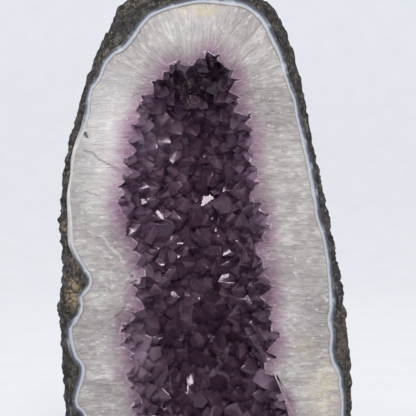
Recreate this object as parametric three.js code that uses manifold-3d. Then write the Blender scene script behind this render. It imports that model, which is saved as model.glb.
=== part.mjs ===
import * as THREE from "three";
import { ConvexHull } from "three/addons/math/ConvexHull.js";
import { mergeVertices } from "three/addons/utils/BufferGeometryUtils.js";
import Module from "manifold-3d";

// A cathedral geode: half of a tall mineral-lined gas bubble from basalt, sawn flat down its front
// and flat across its base, so that it stands upright with its crystal-lined hollow facing forward.
// From the outside in it is a rough basalt rind, a thin wavy band of agate, a thick wall of milky
// quartz and a carpet of amethyst points. Each layer is a bowl that is open at the sawn front.
// Units are millimetres, +Z is up and the sawn front faces -Y.

// Driving dimensions.
const DEPTH = 125; // sawn front to the back of the rind
const RIND_AT_BACK = 9;
const AGATE_THICKNESS = 3.6;
const HOLLOW_DEPTH = 66; // sawn front to the mean height of the rearmost crystal points
const CRYSTAL_LAYER = 10; // mean crystal point back to the quartz wall
const BED = 4.5; // solid amethyst under the separate points
const GAP = 0.4; // between neighbouring layers

const POINT_SPACING = [9.5, 13]; // between neighbouring crystals
const POINT_HEIGHT = [6, 11]; // peak above the valleys around it
const POINT_LEAN = 0.5; // how far a crystal may lean from the wall's normal, as a share of its height

// The middle of the geode as seen from the front. Outlines are read by their angle about it.
const CENTRE = { x: -3, z: 160 };
const FRONT = 0;

// Facets: directions round each bowl, and rings from the sawn front to the back.
const AROUND = 76;
const RIND_RINGS = 8;
const INNER_RINGS = 6;
const ROUNDNESS = 0.9; // 1 gives elliptical sections, and less gives squarer ones

// Outline points on the sawn front are [x, z], clockwise from the top. Each outline closes below
// the base, where the saw has taken its end away.
const OUTER_EDGE = [
  [-6, 340], [22, 336], [42, 326.5], [56.5, 300], [65, 272], [75, 221], [86, 172], [92, 140],
  [95.5, 105], [98.5, 62], [94, 22], [76, -12], [40, -28], [-2, -32], [-44, -28], [-78, -10],
  [-91, 22], [-94, 50], [-96, 87], [-98.5, 122], [-96, 153], [-98, 178], [-96, 207], [-91, 234],
  [-84, 260], [-75, 286], [-67, 305], [-54, 326], [-32, 337],
];
const AGATE_EDGE = [
  [-5, 328.5], [13, 328], [29, 325], [38, 318], [48, 300], [53, 290], [58.5, 269], [63.5, 251],
  [68.5, 231], [75, 197], [81, 170], [85.5, 142], [87, 121], [86, 112], [87.5, 102], [87, 92],
  [92, 77], [93.5, 60], [89, 21], [72, -8], [38, -22], [-2, -26], [-42, -22], [-73, -6],
  [-85, 21], [-83, 47], [-88, 61], [-84, 80], [-90, 93], [-92.5, 105], [-88, 114], [-85, 128],
  [-79.5, 139], [-84, 150], [-91, 164], [-92, 195], [-89, 222], [-82.5, 242], [-79, 266],
  [-70, 283], [-59, 295], [-51, 303], [-38, 318], [-17, 326],
];
const HOLLOW_EDGE = [
  [5, 289], [17, 275], [19, 257], [28, 242], [29, 218], [34, 191], [39, 172], [33, 156],
  [40, 145], [41, 119], [43.5, 100], [38, 81], [41, 66], [50, 49], [46, 35], [28, 26], [-4, 23],
  [-28, 27], [-40, 42], [-44, 60], [-48, 84], [-51, 110], [-42, 122], [-44, 134], [-37, 144],
  [-45, 162], [-54, 184], [-54, 195], [-51, 215], [-47, 236], [-38, 260], [-28, 276],
  [-16, 281], [-4, 281],
];

const wasm = await Module();
wasm.setup();

// A closed geometry as a solid.
function solidOf(geometry) {
  const bare = geometry.clone();
  bare.deleteAttribute("normal");
  bare.deleteAttribute("uv");
  const merged = mergeVertices(bare, 1e-4);
  return new wasm.Manifold(
    new wasm.Mesh({
      numProp: 3,
      vertProperties: new Float32Array(merged.attributes.position.array),
      triVerts: new Uint32Array(merged.index.array),
    }),
  );
}

// A solid's surface as a flat-shaded geometry.
function geometryOf(solid) {
  const { vertProperties, triVerts } = solid.getMesh();
  const indexed = new THREE.BufferGeometry();
  indexed.setAttribute("position", new THREE.BufferAttribute(vertProperties, 3));
  indexed.setIndex(new THREE.BufferAttribute(triVerts, 1));
  const flat = indexed.toNonIndexed();
  flat.computeVertexNormals();
  return flat;
}

// The radius about the centre, by angle, of an outline drawn through points and moved inward.
function radiusOf(points, inward) {
  const corners = points.map(([x, z]) => new THREE.Vector3(x, 0, z));
  const curve = new THREE.CatmullRomCurve3(corners, true, "centripetal");
  const steps = 720;
  const samples = [];
  for (let i = 0; i < steps; i += 1) {
    const point = curve.getPointAt(i / steps);
    const along = curve.getTangentAt(i / steps);
    const x = point.x + inward * along.z - CENTRE.x;
    const z = point.z - inward * along.x - CENTRE.z;
    samples.push({ angle: Math.atan2(z, x), radius: Math.hypot(x, z) });
  }
  samples.sort((a, b) => a.angle - b.angle);
  const first = samples[0];
  const last = samples[steps - 1];
  samples.unshift({ angle: last.angle - 2 * Math.PI, radius: last.radius });
  samples.push({ angle: first.angle + 2 * Math.PI, radius: first.radius });
  return (angle) => {
    const turned = Math.atan2(Math.sin(angle), Math.cos(angle));
    const next = samples.findIndex((sample) => sample.angle > turned);
    const a = samples[next - 1];
    const b = samples[next];
    const share = (turned - a.angle) / (b.angle - a.angle);
    return a.radius + share * (b.radius - a.radius);
  };
}

// A level is one bowl-shaped surface: its outline at the sawn front and how far back it reaches.
function levelOf(points, inward, depth) {
  return { radius: radiusOf(points, inward), depth };
}

// The point of a level in a direction about the centre. Turn is 0 at the sawn front and a quarter
// turn at the back.
function bowlPoint(level, angle, turn) {
  const out = level.radius(angle) * Math.cos(turn) ** ROUNDNESS;
  return new THREE.Vector3(
    CENTRE.x + out * Math.cos(angle),
    FRONT + level.depth * Math.sin(turn),
    CENTRE.z + out * Math.sin(angle),
  );
}

// How far the rind's broken surface stands in or out at a point, fading to nothing at the saw cut.
function rockRelief({ x, y, z }) {
  const lumps = Math.sin(x / 15 + 0.6) * Math.cos(z / 18 - 0.4) + Math.sin(y / 13 + z / 26);
  const knobs = Math.sin(x / 6.5 + 2) * Math.sin(z / 7.5) * Math.cos(y / 7);
  return Math.min(1, (y - FRONT) / 30) * (1.7 * lumps + 0.9 * knobs - 3);
}

// A level's bowl as a closed solid, carried forward past the sawn front. Its relief stands out
// along lines from the centre, which turn back more slowly than the bowl does.
function bowlSolid(level, rings, relief = () => 0) {
  const reach = 12;
  const turnedBack = 0.7;
  const points = [new THREE.Vector3(CENTRE.x, FRONT - reach, CENTRE.z)];
  for (let ring = -1; ring < rings; ring += 1) {
    const turn = (Math.max(ring, 0) / rings) * (Math.PI / 2);
    for (let step = 0; step < AROUND; step += 1) {
      const point = bowlPoint(level, (step / AROUND) * 2 * Math.PI, turn);
      const back = point.y * turnedBack;
      const outward = new THREE.Vector3(point.x - CENTRE.x, back, point.z - CENTRE.z);
      point.addScaledVector(outward.normalize(), relief(point));
      if (ring < 0) point.y = FRONT - reach;
      points.push(point);
    }
  }
  const pole = bowlPoint(level, 0, Math.PI / 2);
  pole.y += relief(pole);
  points.push(pole);

  const index = [];
  const at = (ring, step) => 1 + (ring + 1) * AROUND + (step % AROUND);
  for (let step = 0; step < AROUND; step += 1) {
    index.push(0, at(-1, step), at(-1, step + 1));
    index.push(at(rings - 1, step + 1), at(rings - 1, step), points.length - 1);
    for (let ring = -1; ring < rings - 1; ring += 1) {
      index.push(at(ring, step), at(ring + 1, step), at(ring + 1, step + 1));
      index.push(at(ring, step), at(ring + 1, step + 1), at(ring, step + 1));
    }
  }
  const geometry = new THREE.BufferGeometry().setFromPoints(points);
  geometry.setIndex(index);
  return solidOf(geometry);
}

// Everything behind the sawn front and above the sawn base.
function keptSpace() {
  const block = new THREE.BoxGeometry(400, 300, 500);
  block.translate(0, FRONT + 150, 250);
  return solidOf(block);
}

// A bowl with another bowl taken out of it, sawn front and base.
function layer(outer, inner) {
  return outer.subtract(inner).intersect(kept);
}

// A number from 0 to 1 that is the same for the same whole number.
function scatter(seed) {
  const wave = Math.sin(seed * 12.9898 + 4.1) * 43758.5453;
  return wave - Math.floor(wave);
}

function between([low, high], share) {
  return low + (high - low) * share;
}

// The way out of a level's wall into the hollow, at a point of it.
function intoHollow(level, angle, turn) {
  const step = 0.02;
  const towardsFront = turn > 0 ? -step : step;
  const here = bowlPoint(level, angle, turn);
  const round = bowlPoint(level, angle + step, turn).sub(here);
  const back = bowlPoint(level, angle, turn + towardsFront).sub(here).divideScalar(towardsFront);
  return round.cross(back).normalize();
}

// Crystals spread over a level and its mirror image in front of the saw cut, none closer to
// another than the spacing. Each has a seat on the level, a peak above it, and its direction on
// a unit sphere.
function crystalsOn(level) {
  const candidates = 9000;
  const goldenAngle = Math.PI * (3 - Math.sqrt(5));
  const crystals = [];
  for (let i = 0; i < candidates; i += 1) {
    const angle = i * goldenAngle;
    const turn = Math.asin(1 - (2 * i + 1) / candidates);
    const seat = bowlPoint(level, angle, turn);
    const spacing = between(POINT_SPACING, scatter(i * 1.7));
    if (crystals.some((other) => other.seat.distanceTo(seat) < spacing)) continue;
    const lean = new THREE.Vector3(scatter(i) - 0.5, scatter(i + 0.3) - 0.5, scatter(i + 0.7) - 0.5);
    const axis = intoHollow(level, angle, turn).addScaledVector(lean, POINT_LEAN).normalize();
    const height = between(POINT_HEIGHT, scatter(i * 2.3));
    const direction = new THREE.Vector3(
      Math.cos(turn) * Math.cos(angle),
      Math.sin(turn),
      Math.cos(turn) * Math.sin(angle),
    );
    crystals.push({ seat, peak: seat.clone().addScaledVector(axis, height), direction });
  }
  return crystals;
}

// Each edge of a triangulation as "a,b", with the number of the triangle on its left.
function leftOfEdges(triangles) {
  const left = new Map();
  triangles.forEach((corners, number) => {
    corners.forEach((corner, k) => left.set(`${corner},${corners[(k + 1) % 3]}`, number));
  });
  return left;
}

// The angle at an apex between two other points.
function angleAt(apex, one, other) {
  return one.clone().sub(apex).angleTo(other.clone().sub(apex));
}

// Triangles over a closed set of crystals, with edges swapped until none of them is long and thin.
function trianglesOver(crystals) {
  const directions = crystals.map((crystal) => crystal.direction);
  const triangles = new ConvexHull().setFromPoints(directions).faces.map((face) => {
    const { edge } = face;
    return [edge.prev, edge, edge.next].map((side) => directions.indexOf(side.vertex.point));
  });
  const seat = (i) => crystals[i].seat;
  const sweeps = 12;
  for (let sweep = 0; sweep < sweeps; sweep += 1) {
    for (let first = 0; first < triangles.length; first += 1) {
      for (let k = 0; k < 3; k += 1) {
        const [a, b, c] = [0, 1, 2].map((n) => triangles[first][(k + n) % 3]);
        const second = triangles.findIndex((t) => t.includes(a) && t.includes(b) && !t.includes(c));
        const d = triangles[second].find((corner) => corner !== a && corner !== b);
        const joined = triangles.some((t) => t.includes(c) && t.includes(d));
        const facing = angleAt(seat(c), seat(a), seat(b)) + angleAt(seat(d), seat(a), seat(b));
        if (joined || facing < Math.PI + 0.01) continue;
        triangles[first] = [a, d, c];
        triangles[second] = [d, b, c];
        break;
      }
    }
  }
  return triangles;
}

// The hollow as a closed solid. Its surface is one pyramid for each crystal, from the crystal's
// peak down to the valleys where it meets its neighbours.
function hollowSolid(crystals) {
  const triangles = trianglesOver(crystals);
  const valleys = triangles.map((corners) => {
    const valley = new THREE.Vector3();
    corners.forEach((corner) => valley.addScaledVector(crystals[corner].seat, 1 / 3));
    return valley;
  });
  const left = leftOfEdges(triangles);
  const index = [];
  for (const [edge, number] of left) {
    const [from, to] = edge.split(",").map(Number);
    const opposite = left.get(`${to},${from}`);
    index.push(from, crystals.length + opposite, crystals.length + number);
  }
  const peaks = crystals.map((crystal) => crystal.peak);
  const geometry = new THREE.BufferGeometry().setFromPoints([...peaks, ...valleys]);
  geometry.setIndex(index);
  return solidOf(geometry);
}

function stone(name, solid, color, roughness) {
  const material = new THREE.MeshStandardMaterial({ color, roughness, metalness: 0 });
  const mesh = new THREE.Mesh(geometryOf(solid), material);
  mesh.name = name;
  return mesh;
}

const agateBack = DEPTH - RIND_AT_BACK;
const rindOutside = levelOf(OUTER_EDGE, 0, DEPTH);
const rindInside = levelOf(AGATE_EDGE, 0, agateBack);
const agateOutside = levelOf(AGATE_EDGE, GAP, agateBack - GAP);
const agateInside = levelOf(AGATE_EDGE, AGATE_THICKNESS, agateBack - AGATE_THICKNESS);
const quartzIn = AGATE_THICKNESS + GAP;
const quartzOutside = levelOf(AGATE_EDGE, quartzIn, agateBack - quartzIn);
const quartzInside = levelOf(HOLLOW_EDGE, -CRYSTAL_LAYER, HOLLOW_DEPTH + CRYSTAL_LAYER);
const bedBack = CRYSTAL_LAYER - GAP;
const bedOutside = levelOf(HOLLOW_EDGE, -bedBack, HOLLOW_DEPTH + bedBack);
const bedFront = CRYSTAL_LAYER - BED;
const bedInside = levelOf(HOLLOW_EDGE, -bedFront, HOLLOW_DEPTH + bedFront);

const kept = keptSpace();
const crystals = layer(bowlSolid(bedOutside, INNER_RINGS), hollowSolid(crystalsOn(bedInside)));

const geode = new THREE.Group();
geode.add(
  stone(
    "basalt_rind",
    layer(bowlSolid(rindOutside, RIND_RINGS, rockRelief), bowlSolid(rindInside, INNER_RINGS)),
    0x41423f,
    0.9,
  ),
  stone(
    "agate_band",
    layer(bowlSolid(agateOutside, INNER_RINGS), bowlSolid(agateInside, INNER_RINGS)),
    0xaab4c0,
    0.25,
  ),
  stone(
    "quartz_wall",
    layer(bowlSolid(quartzOutside, INNER_RINGS), bowlSolid(quartzInside, INNER_RINGS)),
    0xd8d6d4,
    0.3,
  ),
  stone("amethyst_crystals", crystals, 0x4a3450, 0.15),
);

// The origin is under the middle of the geode, on the surface that it stands on.
const middle = new THREE.Box3().setFromObject(geode).getCenter(new THREE.Vector3());
geode.position.set(-middle.x, -middle.y, 0);

export default geode;
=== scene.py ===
"""An amethyst cathedral geode: basalt rind, agate band, milky quartz wall and amethyst points.

Shapes are worked out in millimetres in the geode's own frame, which is the CAD model's frame with
y counted from the sawn front towards the back. place() turns them into the frame's metres.
"""

import math
from itertools import combinations

import bmesh
import bpy
import numpy as np
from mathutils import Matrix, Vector, kdtree, noise


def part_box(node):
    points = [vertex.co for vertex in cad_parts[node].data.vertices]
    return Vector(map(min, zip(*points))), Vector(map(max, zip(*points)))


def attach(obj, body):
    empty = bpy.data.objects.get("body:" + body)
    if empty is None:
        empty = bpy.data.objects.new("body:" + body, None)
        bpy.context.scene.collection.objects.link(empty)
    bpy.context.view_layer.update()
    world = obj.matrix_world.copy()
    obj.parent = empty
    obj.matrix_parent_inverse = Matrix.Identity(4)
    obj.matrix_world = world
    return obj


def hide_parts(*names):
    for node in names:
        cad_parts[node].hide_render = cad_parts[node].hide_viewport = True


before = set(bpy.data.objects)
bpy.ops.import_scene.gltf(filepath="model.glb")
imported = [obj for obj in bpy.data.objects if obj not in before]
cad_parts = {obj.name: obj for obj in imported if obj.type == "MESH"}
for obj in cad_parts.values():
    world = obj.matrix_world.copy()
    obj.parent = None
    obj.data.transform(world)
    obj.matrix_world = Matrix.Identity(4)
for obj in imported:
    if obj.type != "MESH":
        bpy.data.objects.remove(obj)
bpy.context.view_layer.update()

MM = 0.001
TAU = 2 * math.pi
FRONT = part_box("quartz_wall")[0].y / MM  # y of the sawn front in the CAD frame
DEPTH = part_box("basalt_rind")[1].y / MM - FRONT

CENTRE = np.array([-3.0, 160.0])  # x, z of the point that the outlines are read about
ROUNDNESS = 0.9  # of the bowls' sections, as in the CAD model

AROUND = 900  # steps round the agate and the quartz
RIND_AROUND = 700
HIDDEN_RINGS = 8  # from the front to the back of a bowl that is hardly seen

AGATE_THICKNESS = 4.1  # on the sawn front
AGATE_BACK = DEPTH - 9.0  # depth of the agate's outside
QUARTZ_BACK = AGATE_BACK - 4.6
HOLLOW_DEPTH = 66.0
CRYSTAL_LAYER = 10.0  # sawn amethyst between the quartz and the hollow
QUARTZ_HOLLOW = HOLLOW_DEPTH + CRYSTAL_LAYER  # depth of the bowl that the amethyst fills
BED = 4.5  # solid amethyst under the separate points

RIND_GAP = 0.2  # kept on each side of the agate's outside
GAP = 0.3  # kept on each side of the agate's inside and of the quartz's
RIND_LAP = 0.4  # how far the rind's rim reaches in behind the agate's outer edge
QUARTZ_LAP = 0.6  # how far the quartz reaches out behind the agate's inner edge
SET_BACK = 0.15  # of the sawn quartz and amethyst behind the sawn agate
ON_FRONT = 0.01  # nearer than this to the saw cut counts as on it

# Outlines on the sawn front, as x, z, clockwise from the top.
OUTER_EDGE = [
    (-6, 340), (22, 336), (42, 326.5), (56.5, 300), (65, 272), (75, 221), (86, 172), (92, 140),
    (95.5, 105), (98.5, 62), (94, 22), (76, -12), (40, -28), (-2, -32), (-44, -28), (-78, -10),
    (-91, 22), (-94, 50), (-96, 87), (-98.5, 122), (-96, 153), (-98, 178), (-96, 207), (-91, 234),
    (-84, 260), (-75, 286), (-67, 305), (-54, 326), (-32, 337),
]
AGATE_EDGE = [
    (-5, 328.5), (13, 328), (28.5, 325), (38, 318), (43.5, 310.5), (48, 300), (52.5, 291),
    (55.5, 279), (58.5, 269.5), (62, 261), (63.5, 251), (66, 241), (68.5, 231), (72, 216),
    (75.5, 197), (77.5, 182), (81.5, 169), (83.5, 158), (85.5, 142), (87, 121), (85.5, 112.5),
    (87.5, 104), (86.5, 92), (88.5, 84), (92, 78), (92.5, 70), (94, 62.5), (94, 49), (89, 21),
    (72, -8), (38, -22), (-2, -26), (-42, -22), (-73, -6), (-84, 21), (-82, 49), (-87.5, 55),
    (-88.5, 62), (-86.5, 70), (-84, 81), (-88.5, 87), (-91.5, 96.5), (-92.5, 104), (-91.5, 112),
    (-87.5, 115), (-84.5, 122.5), (-85, 130.5), (-80.5, 134.5), (-78.5, 140), (-82, 146),
    (-87, 154.5), (-91, 163.5), (-91.5, 180.5), (-92, 196.5), (-90, 210), (-89, 222.5),
    (-86, 233.5), (-83.5, 240), (-80.5, 252), (-78.5, 267), (-72, 276), (-69, 284.5),
    (-62.5, 293), (-56, 297), (-51, 303), (-45.5, 311), (-38, 318.5), (-29, 322.5), (-16.5, 326),
]
HOLLOW_EDGE = [
    (5, 289), (11.5, 281.5), (17.5, 274.5), (18.5, 265.5), (19, 257), (26, 246.5), (29, 236.5),
    (28.5, 220), (30, 203.5), (34, 191), (38, 178.5), (38.5, 168), (32.5, 156), (39.5, 146.5),
    (42, 133), (41.5, 119), (43.5, 107), (43.5, 92), (38, 81), (39.5, 68), (47.5, 58.5),
    (50, 49), (46, 35), (28, 26), (-4, 23), (-28, 27), (-37, 40), (-43.5, 57), (-46, 70),
    (-47.5, 83), (-50, 96.5), (-50.5, 112), (-42, 121.5), (-44, 133), (-36.5, 144), (-43.5, 152),
    (-46, 164.5), (-51.5, 174.5), (-53.5, 183), (-54.5, 191), (-52, 200), (-51, 212),
    (-49.5, 226.5), (-48, 234.5), (-41.5, 248), (-38, 260), (-32.5, 266.5), (-27.5, 276.5),
    (-18, 281), (-6.5, 280), (-2.5, 284),
]


# -------- outlines and bowls

STRETCH_STEPS = 40  # between two points of an outline
FINE = 2400  # steps round an outline that is read as radii


def closed_curve(points, steps):
    """Evenly spaced points on a closed centripetal Catmull-Rom curve through points."""
    points = np.array(points, float)
    count = len(points)
    dense = []
    for i in range(count):
        four = points[[(i + k - 1) % count for k in range(4)]]
        knots = np.concatenate([[0], np.cumsum(np.linalg.norm(np.diff(four, axis=0), axis=1) ** 0.5)])
        t = np.linspace(knots[1], knots[2], STRETCH_STEPS, endpoint=False)[:, None]

        def blend(a, b, low, high):
            return (a * (knots[high] - t) + b * (t - knots[low])) / (knots[high] - knots[low])

        ends = [blend(four[k], four[k + 1], k, k + 1) for k in range(3)]
        middle = [blend(ends[k], ends[k + 1], k, k + 2) for k in range(2)]
        dense.append(blend(middle[0], middle[1], 1, 2))
    dense = np.concatenate(dense)
    lengths = np.linalg.norm(np.roll(dense, -1, axis=0) - dense, axis=1)
    run = np.concatenate([[0], np.cumsum(lengths)])
    wanted = np.linspace(0, run[-1], steps, endpoint=False)
    around = np.concatenate([dense, dense[:1]])
    return np.stack([np.interp(wanted, run, around[:, k]) for k in range(2)], axis=1)


def unit(vector):
    return vector / np.linalg.norm(vector)


def inward_normals(curve):
    """Unit normals of a clockwise closed curve, pointing into it."""
    along = np.roll(curve, -1, axis=0) - np.roll(curve, 1, axis=0)
    along /= np.linalg.norm(along, axis=1)[:, None]
    return np.stack([along[:, 1], -along[:, 0]], axis=1)


def radius_of(points, inward=0.0):
    """The radius about the centre, as a function of angle, of an outline moved inward. inward is a
    distance, or a function of the outline's x and z."""
    curve = closed_curve(points, FINE)
    if callable(inward):
        inward = inward(curve[:, 0], curve[:, 1])[:, None]
    moved = curve + inward * inward_normals(curve) - CENTRE
    angles = np.arctan2(moved[:, 1], moved[:, 0])
    radii = np.hypot(moved[:, 0], moved[:, 1])
    order = np.argsort(angles)
    angles, radii = angles[order], radii[order]
    angles = np.concatenate([angles[-1:] - TAU, angles, angles[:1] + TAU])
    radii = np.concatenate([radii[-1:], radii, radii[:1]])
    return lambda angle: np.interp((angle + math.pi) % TAU - math.pi, angles, radii)


def about_centre(out, depth, angle):
    """Points that lie so far out from the centre and so deep behind the front."""
    x, z = CENTRE[0] + out * np.cos(angle), CENTRE[1] + out * np.sin(angle)
    return np.stack([x, depth + 0 * out, z], axis=-1)


def bowl(radius, depth, angle, turn):
    """Points of a bowl in directions about the centre. turn is 0 at the sawn front and a quarter
    turn at the pole."""
    return about_centre(radius(angle) * np.cos(turn) ** ROUNDNESS, depth * np.sin(turn), angle)


def directions(around):
    """Angles of evenly spaced directions about the centre."""
    return np.arange(around) * TAU / around


def bowl_rows(radius, depth, around, rings, first=0):
    """Rings of a bowl from the front towards the back, leaving out the pole."""
    angles = directions(around)
    return [bowl(radius, depth, angles, 0.5 * math.pi * ring / rings) for ring in range(first, rings)]


def pole(depth):
    """The point of a bowl that lies furthest from the front."""
    return np.array([[CENTRE[0], depth, CENTRE[1]]])


def strip_rows(inner, outer, around, steps):
    """Rings on the sawn front from one outline to another, both included."""
    angles = directions(around)
    rows = []
    for step in range(steps + 1):
        share = step / steps
        rows.append(about_centre(inner(angles) * (1 - share) + outer(angles) * share, 0, angles))
    return rows


def wider(radius, extra):
    return lambda angle: radius(angle) + extra


# -------- meshes

def place(points):
    """Millimetres in the geode's frame to metres in the CAD frame."""
    return (np.asarray(points) + [0, FRONT, 0]) * MM


def add_object(name, data):
    made = bpy.data.objects.new(name, data)
    bpy.context.scene.collection.objects.link(made)
    return made


def mesh_object(name, points, faces):
    mesh = bpy.data.meshes.new(name)
    mesh.from_pydata(place(points).tolist(), [], [list(map(int, face)) for face in faces])
    mesh.validate()
    return add_object(name, mesh)


def shell(name, first_pole, rows, last_pole):
    """A closed mesh over rings of points that run from one pole to another. Its faces point out
    when the rings run from the inside of a bowl over its rim to its outside."""
    around = len(rows[0])
    points = np.concatenate([first_pole, *rows, last_pole])
    last = len(points) - 1
    steps = np.arange(around)
    after = (steps + 1) % around
    faces = [(0, 1 + s, 1 + after[s]) for s in steps]
    for ring in range(len(rows) - 1):
        here = 1 + ring * around
        there = here + around
        faces.extend(zip(here + steps, there + steps, there + after, here + after))
    here = 1 + (len(rows) - 1) * around
    faces.extend((last, here + after[s], here + s) for s in steps)
    return mesh_object(name, points, faces)


def points_of(piece):
    """A piece's points in the geode's frame."""
    points = np.empty(len(piece.data.vertices) * 3)
    piece.data.vertices.foreach_get("co", points)
    return points.reshape(-1, 3) / MM - [0, FRONT, 0]


def set_points(piece, points):
    piece.data.vertices.foreach_set("co", place(points).ravel())
    piece.data.update()


def apply_boolean(piece, operand, operation):
    """Joins or cuts a closed mesh with another, and deletes the other."""
    modifier = piece.modifiers.new("boolean", "BOOLEAN")
    modifier.object = operand
    modifier.operation = operation
    modifier.solver = "MANIFOLD"
    depsgraph = bpy.context.evaluated_depsgraph_get()
    result = bpy.data.meshes.new_from_object(piece.evaluated_get(depsgraph))
    result.materials.clear()
    piece.modifiers.clear()
    old = piece.data
    piece.data = result
    bpy.data.meshes.remove(old)
    bpy.data.objects.remove(operand)


def block(low, high):
    """A plain box between two corners, for cutting with."""
    corners = [[(low, high)[(k >> axis) & 1][axis] for axis in range(3)] for k in range(8)]
    faces = [(0, 2, 3, 1), (4, 5, 7, 6), (0, 1, 5, 4), (2, 6, 7, 3), (0, 4, 6, 2), (1, 3, 7, 5)]
    return mesh_object("cutter", corners, faces)


def saw_base(piece):
    """Cuts off what reaches below the flat foot."""
    apply_boolean(piece, block((-150, -30, -60), (150, 160, 0)), "DIFFERENCE")


def noise_place(seed):
    """Where the noise of a seed is read."""
    return Vector((seed * 7.3, seed * 3.1, seed * 5.7))


def fractal(points, size, octaves, seed):
    """Noise of about -1 to 1 at points, whose largest lumps are about size long."""
    offset = noise_place(seed)
    return np.array([noise.fractal(Vector(p) / size + offset, 1.0, 2.0, octaves) for p in points])


def chips(points, size, seed):
    """Relief like broken rock, from 0 at the edges between cells to 1 in the middle of wide ones."""
    offset = noise_place(seed)
    nearest = (noise.voronoi(Vector(p) / size + offset)[0] for p in points)
    return np.array([min(1.0, d[1] - d[0]) for d in nearest])


# -------- where a point lies in the wall

SPINE_X = -5.0  # the upright line that the fibres stand square to, and fan out from at its ends
SPINE_LOW, SPINE_HIGH = 62.0, 262.0
SPINE_LENGTH = SPINE_HIGH - SPINE_LOW
FAN_RADIUS = 60.0  # at which fibres fan out as far apart as they stand beside the spine
ROUND_SPINE = 2 * SPINE_LENGTH + TAU * FAN_RADIUS
RING_RADIUS = ROUND_SPINE / TAU  # of a circle as long as the way round the spine


def tree_over(curve):
    """A search tree over the points of a curve on the sawn front."""
    tree = kdtree.KDTree(len(curve))
    for i, (x, z) in enumerate(curve):
        tree.insert((x, 0, z), i)
    tree.balance()
    return tree


hollow_curve = closed_curve(HOLLOW_EDGE, 1600)
hollow_normals = inward_normals(hollow_curve)
hollow_tree = tree_over(hollow_curve)
rim_tree = tree_over(closed_curve(OUTER_EDGE, 1200))


def around_spine(x, z):
    """How far round the spine a point is, as an angle, counted from the foot of its right side."""
    nearest = np.clip(z, SPINE_LOW, SPINE_HIGH)
    angle = np.arctan2(z - nearest, x - SPINE_X)
    half = SPINE_LENGTH + math.pi * FAN_RADIUS
    side = np.where(x >= SPINE_X, nearest - SPINE_LOW, half + SPINE_HIGH - nearest)
    top = SPINE_LENGTH + FAN_RADIUS * angle
    foot = SPINE_LENGTH + half + FAN_RADIUS * (math.pi + angle)
    run = np.where(z > SPINE_HIGH, top, np.where(z < SPINE_LOW, foot, side))
    return run / ROUND_SPINE * TAU


def wall_place(points):
    """For each point, as seen from the front: how far it is round the spine, as an angle, its
    distance in from the rim, and its distance out from the edge of the hollow, less than 0 inside."""
    inside, outside = [], []
    for x, _, z in points:
        _, _, distance = rim_tree.find((x, 0, z))
        inside.append(distance)
        near, k, distance = hollow_tree.find((x, 0, z))
        inner = (x - near.x) * hollow_normals[k][0] + (z - near.z) * hollow_normals[k][1] > 0
        outside.append(-distance if inner else distance)
    along = around_spine(points[:, 0], points[:, 2])
    return along, np.array(inside), np.array(outside)


def fibre_space(along, inside):
    """Coordinates in millimetres in which the quartz fibres all run along the third axis."""
    return np.stack([RING_RADIUS * np.cos(along), RING_RADIUS * np.sin(along), inside], axis=1)


def store(piece, name, values, kind="FLOAT", domain="POINT"):
    """Keeps values on a piece's mesh for its material to read."""
    attribute = piece.data.attributes.new(name, kind, domain)
    key = "vector" if kind == "FLOAT_VECTOR" else "value"
    attribute.data.foreach_set(key, np.asarray(values, np.float32).ravel())


def store_wall_place(piece):
    along, inside, outside = wall_place(points_of(piece))
    store(piece, "fibre", fibre_space(along, inside), "FLOAT_VECTOR")
    store(piece, "from_hollow", outside)


def sawn_relief(points):
    """How far the sawn wall is chipped back. Whole columns of quartz break off at slightly
    different depths."""
    along, inside, _ = wall_place(points)
    space = fibre_space(along, inside)
    columns = chips(space * [1, 1, 0.3], 4.6, 1)
    grain = fractal(space * [1, 1, 0.5], 3.0, 3, 2)
    worn = np.clip(inside / 6 - 1.5, 0, 1)
    return worn * (0.5 * (1 - columns) + 0.45 * (0.5 + 0.5 * grain))


# -------- the layers

def band_thickness(x, z):
    """The agate is thin where the rind bulges in on the left and thickest at the top."""
    pinched = np.exp(-((z - 205) / 45) ** 2) * (x < 0)
    return AGATE_THICKNESS * (1 + 0.12 * np.sin(z / 13 + x / 17) - 0.5 * pinched)


rind_outer = radius_of(OUTER_EDGE)
agate_outer = radius_of(AGATE_EDGE)
agate_inner = radius_of(AGATE_EDGE, band_thickness)
quartz_inner = radius_of(HOLLOW_EDGE, -CRYSTAL_LAYER)
bed_inner = radius_of(HOLLOW_EDGE, -(CRYSTAL_LAYER - BED))


def rock_relief(points):
    """How far the rind's outside stands out or in. The large lumps are the CAD model's."""
    x, y, z = points.T
    lumps = np.sin(x / 15 + 0.6) * np.cos(z / 18 - 0.4) + np.sin(y / 13 + z / 26)
    knobs = np.sin(x / 6.5 + 2) * np.sin(z / 7.5) * np.cos(y / 7)
    behind = np.clip(y / 30, 0, 1)
    broken = 1.6 * chips(points, 11, 3) + 1.5 * chips(points, 4.2, 4)
    grain = 1.6 * fractal(points, 7, 6, 5)
    boulders = 3.2 * chips(points, 27, 8) + 1.8 * fractal(points, 40, 3, 9)
    return behind * (1.7 * lumps + 0.9 * knobs + boulders - 4.2) + broken + grain - 1.7


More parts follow.
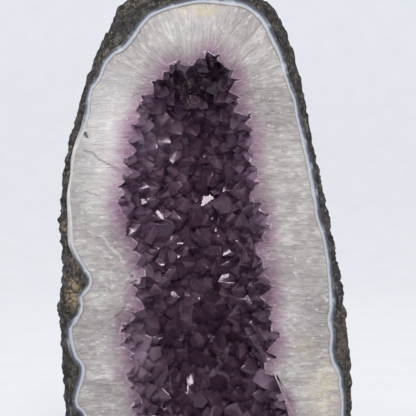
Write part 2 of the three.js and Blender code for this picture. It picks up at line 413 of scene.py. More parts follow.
def make_rind():
    """The rind. Its sawn rim is broken rather than flat, and more so towards its outer edge."""
    inside = AGATE_BACK + RIND_GAP
    hidden = bowl_rows(wider(agate_outer, RIND_GAP), inside, RIND_AROUND, 10, first=1)[::-1]
    rim = strip_rows(wider(agate_outer, -RIND_LAP), rind_outer, RIND_AROUND, 9)
    outside = bowl_rows(rind_outer, DEPTH, RIND_AROUND, 92, first=1)
    piece = shell("rind_rock", pole(inside), hidden + rim + outside, pole(DEPTH))

    points = points_of(piece)
    rim_start = 1 + len(hidden) * RIND_AROUND
    on_rim = slice(rim_start, rim_start + len(rim) * RIND_AROUND)
    shown = slice(rim_start, len(points))
    outward = points - [CENTRE[0], 0, CENTRE[1]]
    outward[:, 1] *= 0.7
    outward /= np.linalg.norm(outward, axis=1)[:, None]
    share = np.repeat(np.arange(len(rim)) / (len(rim) - 1), RIND_AROUND)
    relief = np.zeros(len(points))
    relief[shown] = rock_relief(points[shown])
    relief[on_rim] *= share**3
    rough = 0.9 * fractal(points[on_rim], 4, 4, 6)
    rough += 1.1 * chips(points[on_rim], 3.0, 7)
    points += outward * relief[:, None]
    points[on_rim, 1] += np.minimum(1, 5 * share) * (rough + 0.1) + 0.2
    set_points(piece, points)
    saw_base(piece)
    store_wall_place(piece)
    return piece


def make_agate():
    """The agate, with each point's place between its two edges, 0 at the rind and 1 at the quartz."""
    inside, outside = AGATE_BACK - 4.2, AGATE_BACK - GAP
    hidden = bowl_rows(wider(agate_inner, GAP), inside, AROUND, HIDDEN_RINGS, first=1)[::-1]
    face = strip_rows(agate_inner, agate_outer, AROUND, 8)
    behind = bowl_rows(wider(agate_outer, -RIND_GAP), outside, AROUND, HIDDEN_RINGS, first=1)
    piece = shell("agate_lining", pole(inside), hidden + face + behind, pole(outside))
    saw_base(piece)
    points = points_of(piece)
    angles = np.arctan2(points[:, 2] - CENTRE[1], points[:, 0] - CENTRE[0])
    radii = np.hypot(points[:, 0] - CENTRE[0], points[:, 2] - CENTRE[1])
    inner, outer = agate_inner(angles), agate_outer(angles)
    store(piece, "band", np.clip((outer - radii) / (outer - inner), 0, 1))
    store_wall_place(piece)
    return piece


def make_quartz():
    """The quartz wall. Its sawn face turns back in a short lip at both of its edges."""
    inside = QUARTZ_HOLLOW + GAP
    hidden = bowl_rows(wider(quartz_inner, GAP), inside, AROUND, HIDDEN_RINGS, first=1)[::-1]
    inner_lip = strip_rows(quartz_inner, wider(quartz_inner, GAP), AROUND, 1)[1] + [0, 1.5, 0]
    face = strip_rows(quartz_inner, wider(agate_inner, QUARTZ_LAP), AROUND, 42)
    outer_lip = face[-1] + [0, 1.0, 0]
    behind = bowl_rows(wider(agate_inner, -GAP), QUARTZ_BACK, AROUND, HIDDEN_RINGS, first=1)
    rows = hidden + [inner_lip] + face + [outer_lip] + behind
    piece = shell("quartz_columns", pole(inside), rows, pole(QUARTZ_BACK))
    points = points_of(piece)
    start = 1 + (len(hidden) + 1) * AROUND
    on_face = slice(start, start + len(face) * AROUND)
    points[on_face, 1] += SET_BACK + sawn_relief(points[on_face])
    set_points(piece, points)
    saw_base(piece)
    store_wall_place(piece)
    return piece


# -------- amethyst

FACE_SLOPE = math.radians(51.8)  # between a quartz point's faces and its base
MAIN_SETBACK = (0, 0.08)  # of the three large faces from the point, as a share of the half width
MINOR_SETBACK = (0.1, 0.45)
SINK = 3.6  # how far a crystal's root goes below its seat

SIZES = [  # half widths from and to, tries, and the least distance as a share of both half widths
    (6.6, 8.2, 110, 0.88),
    (5.2, 6.6, 2200, 0.74),
    (3.6, 5.2, 4500, 0.64),
    (2.0, 3.4, 6000, 0.58),
]
POINT_STANDS = (1.25, 1.65)  # height of the point over the bed, as a share of the half width
LEAN = 0.19  # spread of the crystals' axes

KEY = (0.1, -1.15, 1.2)  # where the key light stands, in metres
KEY_AIM = (0, 0, 0.18)
SHINING_SHARE = 0.30  # of the crystals deep enough, tried for a face that mirrors the key light
SHINING_FROM = 12  # depth
MOST_TURN = math.cos(math.radians(24))

DOME_REACH = 16.0  # how far the solids that shape the amethyst go in front of the saw cut
BED_ROUGHNESS = 0.9
LONGEST_EDGE = 3.6  # longer ones are halved on the sawn faces
REFINING_PASSES = 4


def crystal_planes(half_width, height, rng):
    """The planes round one upright quartz crystal: a six-sided prism, three large faces that meet
    in the point, and three smaller ones."""
    normals, offsets = [], []
    for side in range(6):
        angle = side * TAU / 6
        flat = np.array([math.cos(angle), math.sin(angle), 0])
        normals.append(flat)
        offsets.append(half_width * rng.uniform(0.85, 1.15))
        normals.append(math.sin(FACE_SLOPE) * flat + [0, 0, math.cos(FACE_SLOPE)])
        setback = rng.uniform(*(MINOR_SETBACK if side % 2 else MAIN_SETBACK))
        offsets.append(height * math.cos(FACE_SLOPE) + setback * half_width)
    normals.append(np.array([0, 0, -1.0]))
    offsets.append(SINK)
    return np.array(normals), np.array(offsets)


def corners_within(normals, offsets):
    """The corners of the space inside all of the planes."""
    trios = np.array(list(combinations(range(len(normals)), 3)))
    matrices = normals[trios]
    meets = np.abs(np.linalg.det(matrices)) > 1e-6
    points = np.linalg.solve(matrices[meets], offsets[trios[meets]][..., None])[..., 0]
    kept = points[(points @ normals.T <= offsets + 1e-6).all(axis=1)]
    return np.unique(np.round(kept, 3), axis=0)


def bed_normal(depth, seat, angle, turn):
    """The direction into the hollow, square to the bed at a seat on it."""
    step = 0.03
    towards = -step if turn > 0 else step
    around = bowl(bed_inner, depth, angle + step, turn) - seat
    back = (bowl(bed_inner, depth, angle, turn + towards) - seat) / towards
    return unit(np.cross(around, back))


def scatter_crystals(rng):
    """Crystals over the bed and just in front of the saw cut, large ones first. Each is its seat,
    axis, half width, height, and whether it mirrors the key light."""
    depth = QUARTZ_HOLLOW - BED
    crystals = []
    seats = np.empty((0, 3))
    widths = np.empty(0)
    for low, high, tries, closeness in SIZES:
        for _ in range(tries):
            direction = unit(rng.normal(size=3))
            angle = math.atan2(direction[2], direction[0])
            turn = math.asin(direction[1])
            seat = bowl(bed_inner, depth, angle, turn)
            half = rng.uniform(low, high) * (0.92 + 0.3 * math.sin(turn))
            if seat[1] < -1.6 * half:
                continue
            gaps = np.linalg.norm(seats - seat, axis=1)
            if (gaps < closeness * (widths + half)).any():
                continue
            axis = unit(bed_normal(depth, seat, angle, turn) + rng.normal(size=3) * LEAN)
            turned = None
            if rng.uniform() < SHINING_SHARE and seat[1] > SHINING_FROM:
                turned = turned_to_key(axis, rng)
            shining = turned is not None
            height = half * rng.uniform(*POINT_STANDS)
            crystals.append((seat, turned if shining else axis, half, height, shining))
            seats = np.concatenate([seats, [seat]])
            widths = np.append(widths, half)
    return crystals


def mirror_direction():
    """The normal of a face that shows the key light to someone in front of the geode."""
    return unit(unit(np.subtract(KEY, KEY_AIM)) + [0, -1, 0])


def turned_to_key(axis, rng):
    """The axis of a crystal once one of its faces mirrors the key light, or None where it would
    have to turn too far."""
    mirror = unit(mirror_direction() + rng.normal(size=3) * 0.02)
    across = unit(axis - (axis @ mirror) * mirror)
    turned = math.cos(FACE_SLOPE) * mirror + math.sin(FACE_SLOPE) * across
    return turned if turned @ axis >= MOST_TURN else None


def turned_to(axis, spin, towards=(0.31, 0.87, 0.38)):
    """A matrix that stands +Z along an axis, after a turn of spin about +Z. Where spin is 0, +Y
    ends on towards' side of the axis."""
    side = unit(np.cross(towards, axis))
    other = np.cross(axis, side)
    c, s = math.cos(spin), math.sin(spin)
    return np.stack([c * side + s * other, c * other - s * side, axis], axis=1)


def apart_groups(crystals):
    """The crystals in groups in which none can touch another."""
    middles = np.array([seat + axis * height * 0.3 for seat, axis, _, height, _ in crystals])
    reach = np.array([math.hypot(half * 1.3, height * 0.75) + 0.5 for _, _, half, height, _ in crystals])
    groups = []
    for i in range(len(crystals)):
        for group in groups:
            gaps = np.linalg.norm(middles[group] - middles[i], axis=1)
            if (gaps > reach[group] + reach[i]).all():
                group.append(i)
                break
        else:
            groups.append([i])
    return groups


def hull_faces(points):
    """Triangles of the convex body over points."""
    bm = bmesh.new()
    verts = [bm.verts.new(p) for p in points]
    bmesh.ops.convex_hull(bm, input=verts)
    bmesh.ops.recalc_face_normals(bm, faces=bm.faces)
    bm.verts.index_update()
    corners = np.array([v.co for v in bm.verts])
    faces = [[v.index for v in face.verts] for face in bm.faces]
    bm.free()
    return corners, faces


def dome(name, radius, depth, around, rings):
    """A bowl as a closed solid, carried forward past the sawn front."""
    rows = bowl_rows(radius, depth, around, rings)
    return shell(name, pole(-DOME_REACH), [rows[0] - [0, DOME_REACH, 0]] + rows, pole(depth))


def outer_dome(name):
    """The whole body of the amethyst, hollow and all."""
    return dome(name, quartz_inner, QUARTZ_HOLLOW, AROUND // 2, 6)


def crystal_body(crystal, rng):
    """One crystal's corners and faces, standing where it grows."""
    seat, axis, half, height, shining = crystal
    upright = corners_within(*crystal_planes(half, height, rng))
    narrowed = upright * [1, 1 if shining else rng.uniform(0.75, 1.0), 1]
    corners, faces = hull_faces(narrowed)
    if shining:
        turn = turned_to(axis, 0.25 * TAU, mirror_direction())
    else:
        turn = turned_to(axis, rng.uniform(0, TAU))
    return corners @ turn.T + seat, faces


def joined(name, bodies):
    """Several closed bodies as one mesh."""
    points = np.concatenate([corners for corners, _ in bodies])
    faces = []
    start = 0
    for corners, body_faces in bodies:
        faces.extend([corner + start for corner in face] for face in body_faces)
        start += len(corners)
    return mesh_object(name, points, faces)


def connected(bm):
    """The mesh's separate parts, each a list of its vertices, in the order of the mesh."""
    seen = set()
    parts = []
    for start in bm.verts:
        if start in seen:
            continue
        seen.add(start)
        part = [start]
        for vert in part:
            for edge in vert.link_edges:
                other = edge.other_vert(vert)
                if other not in seen:
                    seen.add(other)
                    part.append(other)
        parts.append(part)
    return parts


def refine_front(piece):
    """Drops chips that the cuts left loose. Gives the sawn faces the second material slot, and
    halves their long edges a few times over."""
    bm = bmesh.new()
    bm.from_mesh(piece.data)
    parts = sorted(connected(bm), key=len)
    bmesh.ops.delete(bm, geom=[vert for part in parts[:-1] for vert in part], context="VERTS")
    for face in bm.faces:
        if all(v.co.y < (FRONT + ON_FRONT) * MM for v in face.verts):
            face.material_index = 1
    for _ in range(REFINING_PASSES):
        sawn = [f for f in bm.faces if f.material_index == 1]
        bmesh.ops.triangulate(bm, faces=[f for f in sawn if len(f.verts) > 3])
        edges = [e for e in bm.edges if any(f.material_index == 1 for f in e.link_faces)]
        edges = [e for e in edges if e.calc_length() > LONGEST_EDGE * MM]
        bmesh.ops.subdivide_edges(bm, edges=edges, cuts=1)
    bm.to_mesh(piece.data)
    bm.free()


def store_rim(piece):
    """Stores 1 where the sawn faces meet the crystals' own, and 0 elsewhere."""
    polygons = piece.data.polygons
    sawn = {v for p in polygons if p.material_index == 1 for v in p.vertices}
    grown = {v for p in polygons if p.material_index == 0 for v in p.vertices}
    values = np.zeros(len(piece.data.vertices))
    values[sorted(sawn & grown)] = 1
    _, _, outside = wall_place(points_of(piece))
    values[outside > CRYSTAL_LAYER - 1] = 0
    store(piece, "rim", values)


def store_tones(piece, crystals, rng):
    """Stores a random tone for each crystal on the faces that are nearest to its point."""
    tips = kdtree.KDTree(len(crystals))
    for i, (seat, axis, _, height, _) in enumerate(crystals):
        tips.insert(seat + 0.6 * height * axis, i)
    tips.balance()
    tones = rng.uniform(0, 1, len(crystals))
    middles = np.empty(len(piece.data.polygons) * 3)
    piece.data.polygons.foreach_get("center", middles)
    middles = middles.reshape(-1, 3) / MM - [0, FRONT, 0]
    store(piece, "tone", [tones[tips.find(m)[1]] for m in middles], domain="FACE")


def grow_crystals(rng):
    """The amethyst as one solid, sawn through at the front, and its crystals."""
    piece = outer_dome("amethyst_points")
    inside = dome("inside", bed_inner, QUARTZ_HOLLOW - BED, AROUND // 4, 26)
    points = points_of(inside)
    behind_rim = points[:, 1:2] > -DOME_REACH / 2
    set_points(inside, points + rng.uniform(-BED_ROUGHNESS, BED_ROUGHNESS, points.shape) * behind_rim)
    apply_boolean(piece, inside, "DIFFERENCE")
    crystals = scatter_crystals(rng)
    for group in apart_groups(crystals):
        bodies = [crystal_body(crystals[i], rng) for i in group]
        apply_boolean(piece, joined("crystals", bodies), "UNION")
    apply_boolean(piece, outer_dome("trim"), "INTERSECT")
    apply_boolean(piece, block((-90, -30, 0), (90, 0, 330)), "DIFFERENCE")
    return piece, crystals


def make_amethyst():
    rng = np.random.default_rng(7)
    piece, crystals = grow_crystals(rng)
    refine_front(piece)
    points = points_of(piece)
    sawn = points[:, 1] < ON_FRONT
    points[sawn, 1] += SET_BACK + sawn_relief(points[sawn])
    set_points(piece, points)
    store_wall_place(piece)
    store_rim(piece)
    store_tones(piece, crystals, rng)
    return piece


# -------- materials

def colour(red, green, blue):
    """A screen colour from 0 to 255 as the linear colour that the shaders use."""
    channels = [c / 255 for c in (red, green, blue)]
    return tuple(c / 12.92 if c < 0.04045 else ((c + 0.055) / 1.055) ** 2.4 for c in channels) + (1.0,)


MIX_FACTOR, MIX_A, MIX_B, MIX_RESULT = 0, 6, 7, 2  # a Mix node's sockets for colours


class Graph:
    """A material's nodes. Most calls add one or more and return an output. Sizes and distances are
    in millimetres."""

    def __init__(self, name):
        self.material = bpy.data.materials.new(name)
        self.material.use_nodes = True
        self.tree = self.material.node_tree
        self.tree.nodes.clear()

    def node(self, kind, inputs=None, **settings):
        node = self.tree.nodes.new("ShaderNode" + kind)
        for key, value in settings.items():
            setattr(node, key, value)
        for key, value in (inputs or {}).items():
            self.set(node, key, value)
        return node

    def set(self, node, key, value):
        if isinstance(value, bpy.types.NodeSocket):
            self.tree.links.new(value, node.inputs[key])
        else:
            node.inputs[key].default_value = value

    def value(self, name):
        """A stored number of the mesh."""
        return self.node("Attribute", attribute_name=name).outputs["Fac"]

    def vectors(self, operation, *inputs, output="Vector"):
        return self.node("VectorMath", dict(enumerate(inputs)), operation=operation).outputs[output]

    def scaled(self, vector, factors):
        return self.vectors("MULTIPLY", vector, factors)

    def position(self):
        """Where a point is, in millimetres."""
        return self.scaled(self.node("TexCoord").outputs["Object"], (1 / MM,) * 3)

    def fibres(self, across, along):
        """Where a point is among the fibres, scaled across and along them. Noise comes out long
        where the scale along them is small."""
        here = self.node("Attribute", attribute_name="fibre").outputs["Vector"]
        return self.scaled(here, (across, across, along))

    def parts(self, vector):
        return self.node("SeparateXYZ", {0: vector}).outputs

    def maths(self, operation, a, b=0.0, clamp=False):
        return self.node("Math", {0: a, 1: b}, operation=operation, use_clamp=clamp).outputs[0]

    def add(self, a, b):
        return self.maths("ADD", a, b)

    def subtract(self, a, b):
        return self.maths("SUBTRACT", a, b)

    def times(self, a, b):
        return self.maths("MULTIPLY", a, b)

    def fade(self, value, low, high, start=0.0, end=1.0):
        """start where value is low or less, end where it is high or more, smooth between."""
        inputs = dict(enumerate((value, low, high, start, end)))
        return self.node("MapRange", inputs, interpolation_type="SMOOTHSTEP").outputs[0]

    def near(self, position, spot, size, soft=1.0):
        """1 round a spot on the sawn front, x and z, and 0 beyond size, x and z."""
        away = self.vectors("SUBTRACT", position, (spot[0], 0, spot[1]))
        away = self.scaled(away, (1 / size[0], 0, 1 / size[1]))
        length = self.vectors("LENGTH", away, output="Value")
        return self.fade(length, max(0.0, 1 - soft), 1, 1, 0)

    def noise(self, vector, size, detail=4.0, roughness=0.55, distortion=0.0):
        inputs = {"Vector": vector, "Scale": 1 / size, "Detail": detail, "Roughness": roughness}
        inputs["Distortion"] = distortion
        return self.node("TexNoise", inputs).outputs["Fac"]

    def wandering(self, position, size, distance):
        """Position, moved here and there by up to about half a distance."""
        wander = self.node("TexNoise", {"Vector": position, "Scale": 1 / size}).outputs["Color"]
        wander = self.vectors("SUBTRACT", wander, (0.5, 0.5, 0.5))
        return self.vectors("MULTIPLY_ADD", wander, (distance,) * 3, position)

    def line(self, position, start, end, width):
        """1 on a straight line on the sawn front, from x and z to x and z, and 0 beyond width."""
        along = Vector((end[0] - start[0], 0, end[1] - start[1]))
        away = self.vectors("SUBTRACT", self.scaled(position, (1, 0, 1)), (start[0], 0, start[1]))
        per_length = tuple(along / along.length_squared)
        share = self.vectors("DOT_PRODUCT", away, per_length, output="Value")
        share = self.maths("ADD", share, 0, clamp=True)
        nearest = self.scaled(tuple(along), share)
        length = self.vectors("LENGTH", self.vectors("SUBTRACT", away, nearest), output="Value")
        return self.fade(length, 0.3 * width, width, 1, 0)

    def cells(self, vector, size, feature="F1"):
        return self.node("TexVoronoi", {"Vector": vector, "Scale": 1 / size}, feature=feature)

    def cell_tones(self, vector, size):
        """Three random numbers for each cell."""
        return self.parts(self.cells(vector, size).outputs["Color"])

    def mix(self, factor, a, b, blend="MIX"):
        inputs = {MIX_FACTOR: factor, MIX_A: a, MIX_B: b}
        return self.node("Mix", inputs, data_type="RGBA", blend_type=blend).outputs[MIX_RESULT]

    def over(self, base, shade, amount, strength=1.0):
        """base with a screen colour laid over it, as strongly as amount times strength."""
        return self.mix(self.times(amount, strength), base, colour(*shade))

    def ramp(self, value, *stops):
        """Colours along a value. Each stop is its place and its screen colour."""
        node = self.node("ValToRGB", {"Fac": value})
        elements = node.color_ramp.elements
        while len(elements) < len(stops):
            elements.new(0.5)
        for element, (where, shade) in zip(elements, stops):
            element.position = where
            element.color = colour(*shade)
        return node.outputs["Color"]

    def bump(self, height, distance, strength):
        inputs = {"Height": height, "Distance": distance * MM, "Strength": strength}
        return self.node("Bump", inputs).outputs["Normal"]

    def finish(self, volume=None, **inputs):
        shader = self.node("BsdfPrincipled", {key.replace("_", " "): v for key, v in inputs.items()})
        output = self.node("OutputMaterial", {"Surface": shader.outputs[0]})
        if volume is not None:
            self.set(output, "Volume", volume)
        return self.material


QUARTZ_IOR = 1.544

BRIGHTER_QUARTZ_SPOTS = [((-60, 232), (34, 76), 0.62), ((-10, 318), (46, 34), 0.35)]  # brighter stretches of the sawn quartz, on the upper left and at the top

CRACKS = [  # from and to on the sawn front, width, colour and strength
    ((-80, 227), (-64, 217), 1.3, (122, 118, 120), 0.55),
    ((-64, 217), (-54, 212), 1.6, (126, 120, 124), 0.5),
    ((-80, 239), (-79, 236), 1.4, (52, 46, 44), 0.9),
    ((-54, 209), (-53, 208), 2.2, (58, 48, 56), 0.9),
    ((-62, 191), (-60, 190), 3.0, (140, 108, 136), 0.6),
    ((-80, 200), (-70, 197), 0.9, (126, 122, 124), 0.5),
    ((-70, 170), (-60, 158), 1.4, (236, 234, 233), 0.3),
    ((-60, 158), (-54, 152), 1.4, (236, 234, 233), 0.28),
    ((-72, 162), (-62, 154), 1.2, (236, 234, 233), 0.25),
]

STAINS = [((-3, 320), (26, 8), 0.7), ((78, 66), (16, 30), 0.55), ((66, 95), (12, 14), 0.3)]


def quartz_colour(g, here, column_tone, streaks, patches):
    """Long thin columns side by side, each a little lighter or greyer than the next."""
    clouds = g.noise(here, 26, 3, 0.5)
    grains = g.cell_tones(g.fibres(1, 0.4), 1.7)[0]
    light = g.add(g.times(streaks, 0.24), g.add(g.times(column_tone, 0.10), g.times(clouds, 0.42)))
    light = g.add(light, g.add(g.times(patches, 0.16), g.times(grains, 0.14)))
    base = g.ramp(
        light,
        (0.34, (138, 131, 130)), (0.47, (163, 156, 155)),
        (0.58, (180, 174, 172)), (0.74, (220, 215, 213)),
    )
    for spot, size, strength in BRIGHTER_QUARTZ_SPOTS:
        base = g.over(base, (232, 228, 227), g.near(here, spot, size), strength)
    return base


def column_seams(g, here):
    """Thin shadows between some of the columns."""
    edges = g.cells(g.fibres(1, 0.07), 3.1, "DISTANCE_TO_EDGE").outputs["Distance"]
    return g.times(g.fade(edges, 0.0, 0.09, 1, 0), g.fade(g.noise(here, 9, 3), 0.45, 0.65))


def purple_tint(g, here, from_hollow, column_tone, streaks, patches):
    """Purple comes in towards the hollow, further along some columns than others."""
    reach = g.add(g.times(patches, 9), g.times(column_tone, 4))
    reach = g.add(reach, g.add(g.times(streaks, 4), g.times(g.noise(here, 15, 2), 9)))
    inward = g.subtract(g.subtract(reach, 2.5), from_hollow)
    return g.ramp(
        g.fade(inward, -8, 12),
        (0.0, (255, 255, 255)), (0.3, (239, 230, 237)), (0.6, (218, 194, 213)),
        (0.85, (196, 166, 190)), (1.0, (160, 122, 154)),
    )


def with_marks(g, here, base):
    """Adds light caught in the thin edges of the teeth, cream iron stains, and a few cracks and
    old chips."""
    rim = g.times(g.fade(g.value("rim"), 0.45, 1.0), g.fade(g.noise(here, 6, 3), 0.38, 0.6))
    rim_colour = g.mix(g.fade(g.noise(here, 5, 2), 0.5, 0.6), colour(226, 206, 222), colour(190, 148, 150))
    base = g.mix(g.times(rim, 0.5), base, rim_colour)
    stain_grain = g.noise(here, 6, 4, 0.6)
    for spot, size, strength in STAINS:
        stain = g.times(g.near(here, spot, size), g.fade(stain_grain, 0.3, 0.65))
        base = g.over(base, (214, 198, 152), stain, strength)
    wandering = g.wandering(here, 7, 5)
    for start, end, width, shade, strength in CRACKS:
        base = g.over(base, shade, g.line(wandering, start, end, width), strength)
    return base


def wall_material(name):
    """The sawn quartz and the sawn amethyst, which run into each other."""
    g = Graph(name)
    here = g.position()
    from_hollow = g.value("from_hollow")
    column_tone = g.cell_tones(g.fibres(1, 0.10), 2.4)[0]
    streaks = g.noise(g.fibres(1, 0.13), 1.5, 5, 0.65, 0.4)
    patches = g.noise(g.fibres(1, 0.5), 7, 4, 0.6)
    seams = column_seams(g, here)
    flecks = g.cell_tones(g.fibres(1, 0.6), 1.15)[1]
    pit_shade_and_inclusions = g.fade(g.noise(g.fibres(1, 0.6), 1.7, 2, 0.6), 0.72, 0.80)
    pockets = g.times(g.fade(g.noise(here, 4.5, 3), 0.56, 0.66), g.fade(from_hollow, 0, 11, 1, 0))

    base = quartz_colour(g, here, column_tone, streaks, patches)
    base = g.over(base, (138, 132, 136), seams, 0.16)
    base = g.over(base, (248, 246, 245), g.fade(flecks, 0.95, 0.99, 0, 0.34))
    # Grey spots: painted shade of small pits, and grey inclusions.
    base = g.over(base, (112, 106, 104), pit_shade_and_inclusions, 0.5)
    tint = purple_tint(g, here, from_hollow, column_tone, streaks, patches)
    base = g.mix(1.0, base, tint, "MULTIPLY")
    base = g.over(base, (134, 88, 124), pockets, 0.42)
    base = with_marks(g, here, base)

    facets = g.cell_tones(g.fibres(1, 0.45), 1.3)
    height = g.add(g.times(streaks, 0.6), g.times(facets[1], 0.35))
    height = g.add(height, g.times(g.noise(here, 0.7, 3, 0.7), 0.25))
    height = g.subtract(height, g.times(seams, 0.2))
    roughness = g.fade(facets[2], 0.0, 1.0, 0.14, 0.6)
    return g.finish(
        Base_Color=base, Roughness=roughness, IOR=QUARTZ_IOR, Normal=g.bump(height, 1.1, 1.0),
        Subsurface_Weight=0.08, Subsurface_Radius=(1.0, 0.95, 1.0), Subsurface_Scale=1.0 * MM,
    )


def agate_material():
    g = Graph("agate")
    here = g.position()
    wander = g.times(g.subtract(g.noise(here, 11, 3), 0.5), 0.55)
    band = g.add(g.value("band"), g.times(wander, g.fade(g.value("band"), 0.3, 0.9, 1, 0.25)))
    shades = g.ramp(
        band,
        (0.0, (58, 58, 62)), (0.30, (76, 78, 88)), (0.42, (114, 120, 134)),
        (0.52, (162, 169, 181)), (0.74, (183, 188, 196)), (0.84, (192, 192, 194)),
        (0.92, (132, 116, 104)), (1.0, (162, 156, 150)),
    )
    fine = g.maths("SINE", g.times(band, 46))
    shades = g.over(shades, (124, 130, 146), g.fade(fine, 0.2, 1.0, 0, 0.16))
    # Where the rind presses in on the left the band is milky instead of blue.
    milky = g.near(here, (-90, 205), (26, 62), 0.6)
    shades = g.over(shades, (206, 203, 200), milky, 0.75)
    clouds = g.noise(here, 8, 4)
    shades = g.over(shades, (226, 229, 234), g.fade(clouds, 0.5, 0.7, 0, 0.3))
    roughness = g.fade(g.noise(here, 3, 3), 0.3, 0.7, 0.22, 0.38)
    return g.finish(
        Base_Color=shades, Roughness=roughness, IOR=1.54, Normal=g.bump(g.noise(here, 1.6, 3), 0.12, 0.6),
        Subsurface_Weight=0.2, Subsurface_Radius=(0.8, 0.9, 1.0), Subsurface_Scale=1.5 * MM,
    )


EARTH = [
    ((-88, 131), (7, 15), (178, 156, 124)),
    ((-93, 176), (4, 5), (164, 148, 122)),
    ((-84, 150), (4, 7), (124, 108, 94)),
    ((92, 100), (5, 18), (104, 92, 76)),
]


def rind_material():
    g = Graph("basalt")
    here = g.position()
    rough = g.noise(here, 5, 6, 0.7, 0.3)
    base = g.ramp(
        rough,
        (0.32, (32, 30, 30)), (0.46, (50, 47, 47)), (0.58, (72, 68, 67)),
        (0.74, (120, 115, 110)),
    )
    # Out of the saw's reach it is weathered: clay in broad patches, lichen grey on the knobs, and round
    # holes left by gas, painted near-black inside as shade.
    back = g.fade(g.subtract(g.parts(here)[1], FRONT), 4, 22)
    clay = g.times(g.fade(g.noise(here, 46, 5, 0.6, 0.8), 0.46, 0.62), back)
    base = g.over(base, (132, 116, 96), clay, 0.42)
    pale = g.times(g.fade(g.noise(here, 24, 6, 0.7, 0.5), 0.54, 0.70), back)
    base = g.over(base, (138, 138, 132), pale, 0.5)
    dark = g.times(g.fade(g.noise(here, 34, 4, 0.6), 0.46, 0.34), back)
    base = g.over(base, (34, 31, 31), dark, 0.6)
    bubbles = g.cells(here, 7).outputs["Distance"]
    shaded_gas_holes = g.times(g.fade(bubbles, 0.16, 0.24, 1, 0), g.fade(g.noise(here, 19, 2), 0.48, 0.56))
    shaded_gas_holes = g.times(shaded_gas_holes, back)
    # Painted shade inside the gas holes.
    base = g.over(base, (24, 21, 20), shaded_gas_holes, 0.75)
    # Layers run along the rim, and show as grey and dark streaks.
    layers = g.noise(g.fibres(0.2, 1), 1.6, 5, 0.7, 0.7)
    layered = g.fade(g.noise(here, 30, 2), 0.42, 0.56, 0.35, 1.0)
    base = g.over(base, (128, 127, 128), g.times(layered, g.fade(layers, 0.54, 0.66, 0, 0.65)))
    base = g.over(base, (26, 25, 26), g.fade(layers, 0.47, 0.34, 0, 0.7))
    specks = g.fade(g.noise(here, 2.2, 3, 0.7), 0.57, 0.66)
    where = g.fade(g.noise(here, 17, 3), 0.42, 0.56)
    base = g.over(base, (134, 118, 98), specks, where)
    crumbs = g.fade(g.noise(here, 1.0, 2), 0.62, 0.70)
    base = g.over(base, (184, 172, 154), crumbs, 0.5)
    for spot, size, shade in EARTH:
        earthy = g.times(g.near(here, spot, size, 0.7), g.fade(g.noise(here, 2, 5, 0.7), 0.42, 0.56))
        earthy = g.times(earthy, g.subtract(1.0, back))
        base = g.over(base, shade, earthy, 0.75)
    height = g.add(g.noise(here, 1.8, 6, 0.75), g.times(g.noise(here, 6, 4, 0.6), 1.4))
    height = g.subtract(height, g.times(shaded_gas_holes, 1.2))
    return g.finish(
        Base_Color=base, Roughness=g.fade(rough, 0.3, 0.7, 0.95, 0.7), IOR=1.5,
        Specular_IOR_Level=0.35, Normal=g.bump(height, 1.3, 0.9),
    )


# Patches of painted light on the amethyst points: x and z, size, and strength.
PAINTED_LIGHT_PATCHES = [((-38, 236), (20, 36), 0.6), ((-44, 88), (16, 40), 0.7), ((38, 60), (12, 26), 0.35)]


def amethyst_material():
    g = Graph("amethyst")
    here = g.position()
    depth = g.subtract(g.parts(here)[1], FRONT)
    tone = g.value("tone")
    zones = g.noise(here, 5, 3, 0.6)
    dark = g.add(g.times(tone, 0.55), g.times(zones, 0.45))
    base = g.ramp(
        dark,
        (0.15, (84, 58, 80)), (0.40, (112, 82, 108)), (0.62, (142, 109, 136)),
        (0.85, (176, 144, 168)),
    )
    lower = g.fade(g.parts(here)[2], 60, 210, 0.42, 0)
    base = g.over(base, (74, 52, 70), lower)
    # The points nearest the saw cut are paler, partly from the pale quartz close behind them and partly as
    # painted light, and deeper in the hollow they darken as painted shade.
    # Patches of painted light brighten them further, most of all where the hollow flares out on the left.
    pale = g.fade(depth, 0, 14, 0.36, 0)
    base = g.over(base, (186, 150, 180), pale)
    for spot, size, strength in PAINTED_LIGHT_PATCHES:
        base = g.over(base, (206, 174, 200), g.near(here, spot, size), strength)
    rust = g.times(g.fade(g.noise(here, 2.6, 4, 0.7), 0.60, 0.70), g.fade(tone, 0.75, 0.8))
    base = g.over(base, (120, 76, 58), rust, 0.5)
    # Painted shade: the points darken towards the top of the hollow.
    base = g.over(base, (40, 30, 40), g.fade(g.parts(here)[2], 252, 284, 0, 0.62))
    dust = g.times(g.near(here, (-10, 267), (9, 11), 0.5), g.fade(g.noise(here, 1.6, 2), 0.60, 0.64))
    base = g.over(base, (228, 208, 166), dust)
    steps = g.noise(here, 1.2, 3, 0.6)
    striped = g.noise(g.scaled(here, (0.3, 0.3, 2.2)), 1.2, 2)
    height = g.add(g.times(steps, 0.5), g.times(striped, 0.3))
    roughness = g.fade(g.noise(here, 4, 3), 0.35, 0.7, 0.05, 0.16)
    absorb = g.node("VolumeAbsorption", {"Color": colour(160, 104, 164), "Density": 200.0}).outputs[0]
    return g.finish(
        volume=absorb, Base_Color=base, Roughness=roughness, IOR=QUARTZ_IOR, Transmission_Weight=0.5,
        Specular_IOR_Level=0.3, Specular_Tint=colour(242, 230, 243), Normal=g.bump(height, 0.08, 0.4),
    )


# -------- the geode

def finish_piece(piece, node, materials, smooth=0):
    """Gives a piece its materials and its place in the frame. One of the materials is shaded
    smooth, with edges kept sharp."""
    polygons = piece.data.polygons
    flags = np.empty(len(polygons), int)
    polygons.foreach_get("material_index", flags)
    polygons.foreach_set("use_smooth", flags == smooth)
    piece.data.set_sharp_from_angle(angle=math.radians(50))
    for material in materials:
        piece.data.materials.append(material)
    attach(piece, "root")
    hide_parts(node)


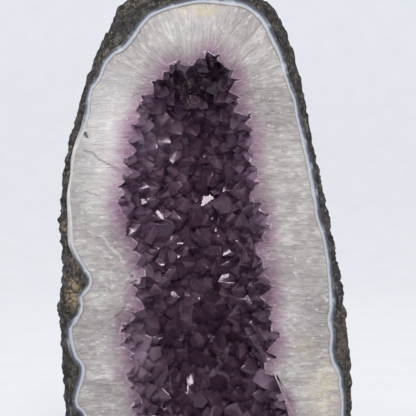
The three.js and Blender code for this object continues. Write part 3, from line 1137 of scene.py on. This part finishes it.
finish_piece(make_rind(), "basalt_rind", [rind_material()])
finish_piece(make_agate(), "agate_band", [agate_material()])
finish_piece(make_quartz(), "quartz_wall", [wall_material("milky_quartz")])
amethyst = make_amethyst()
grown_and_sawn = [amethyst_material(), wall_material("sawn_amethyst")]
finish_piece(amethyst, "amethyst_crystals", grown_and_sawn, smooth=1)


# -------- the studio

def make_stage():
    """A pale round floor that sweeps up into a wall on every side, and glows a little."""
    flat, bend, top = 1.5, 0.9, 2.6
    bend_steps, around = 12, 96
    profile = [(0.02, 0.0), (0.4, 0.0), (flat, 0.0)]
    for step in range(1, bend_steps + 1):
        turn = step / bend_steps * math.pi / 2
        profile.append((flat + bend * math.sin(turn), bend * (1 - math.cos(turn))))
    profile.append((flat + bend, top))
    points = [(r * math.cos(a), r * math.sin(a), z) for r, z in profile for a in directions(around)]
    faces = [tuple(range(around))]
    for ring in range(len(profile) - 1):
        for step in range(around):
            after = (step + 1) % around
            here, there = ring * around, (ring + 1) * around
            faces.append((here + step, there + step, there + after, here + after))
    mesh = bpy.data.meshes.new("studio_floor")
    mesh.from_pydata(points, [], faces)
    mesh.shade_smooth()
    g = Graph("studio_paper")
    grain = g.noise(g.position(), 60, 3)
    shade = g.ramp(grain, (0.3, (190, 192, 195)), (0.7, (194, 196, 199)))
    paper = g.finish(
        Base_Color=shade, Roughness=0.9, Specular_IOR_Level=0.1,
        Emission_Color=colour(238, 240, 244), Emission_Strength=0.45,
    )
    mesh.materials.append(paper)
    add_object("studio_floor", mesh)


def softbox(name, where, aim, size, power):
    """A slightly warm area light. size is its width and height in metres."""
    light = bpy.data.lights.new(name, "AREA")
    light.shape = "RECTANGLE"
    light.size, light.size_y = size
    light.energy = power
    light.color = (1.0, 0.965, 0.93)
    lamp = add_object(name, light)
    lamp.location = where
    lamp.rotation_euler = (Vector(aim) - Vector(where)).to_track_quat("-Z", "Y").to_euler()
    lamp.visible_camera = False


def make_world():
    world = bpy.data.worlds.new("studio_air")
    world.use_nodes = True
    background = world.node_tree.nodes["Background"]
    background.inputs["Color"].default_value = (0.95, 0.97, 1.0, 1)
    background.inputs["Strength"].default_value = 0.40
    bpy.context.scene.world = world


def make_camera():
    """A level camera square on to the sawn front, framed so that top and foot are cut off."""
    lens, sensor = 85.0, 36.0
    field = 277.3  # width of the view at the sawn front
    middle = (2.0, 188.0)  # x, z of the middle of the view
    distance = field * lens / sensor
    data = bpy.data.cameras.new("camera")
    data.lens = lens
    data.sensor_width = sensor
    camera = add_object("camera", data)
    camera.location = place([(middle[0], -distance, middle[1])])[0]
    camera.rotation_euler = (math.pi / 2, 0, 0)
    bpy.context.scene.camera = camera


make_stage()
make_world()
softbox("key", KEY, KEY_AIM, (0.42, 0.36), 9)
softbox("top", (-0.1, -0.35, 1.45), (0, 0, 0.18), (0.8, 0.6), 1.5)
softbox("fill_left", (-1.3, -0.7, 0.6), (0, 0, 0.17), (0.7, 0.9), 1.2)
softbox("fill_right", (1.3, -0.6, 0.5), (0, 0, 0.17), (0.7, 0.9), 0.8)
softbox("back", (0.2, 1.2, 1.3), (0, 0, 0.15), (1.2, 0.9), 3)
make_camera()
bpy.context.scene.view_settings.view_transform = "Standard"
